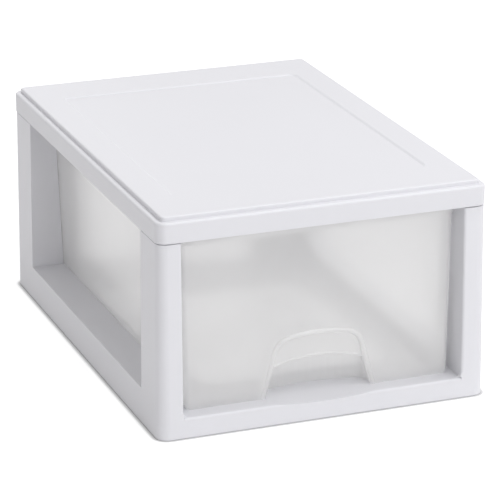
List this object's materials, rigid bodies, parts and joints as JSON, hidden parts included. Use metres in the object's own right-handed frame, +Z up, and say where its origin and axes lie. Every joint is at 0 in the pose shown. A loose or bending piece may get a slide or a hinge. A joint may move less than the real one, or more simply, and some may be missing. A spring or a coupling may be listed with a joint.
{
  "type": "stackable drawer box",
  "caption": "Stackable storage box: white moulded frame with side windows, clip-on top panel and a frosted translucent pull-out drawer with a recessed finger pull.",
  "frame": {"origin": "centre of the box's footprint, on the surface it stands on", "axes": "+Z up; the drawer opens towards -Y; +X to the right seen from behind the box, to the right of the pictured front"},
  "size_m": [0.262, 0.37, 0.1715],
  "materials": {
    "white_plastic": "satin moulded polypropylene",
    "frosted_plastic": "frosted translucent moulded polypropylene"
  },
  "bodies": {
    "housing": {"frame": "white_plastic", "top_panel": "white_plastic"},
    "drawer": {"drawer": "frosted_plastic"}
  },
  "joints": [
    {"name": "drawer_slide", "type": "slide", "parent": "housing", "child": "drawer", "axis": [0, -1, 0], "range_m": [0, 0.29]}
  ]
}
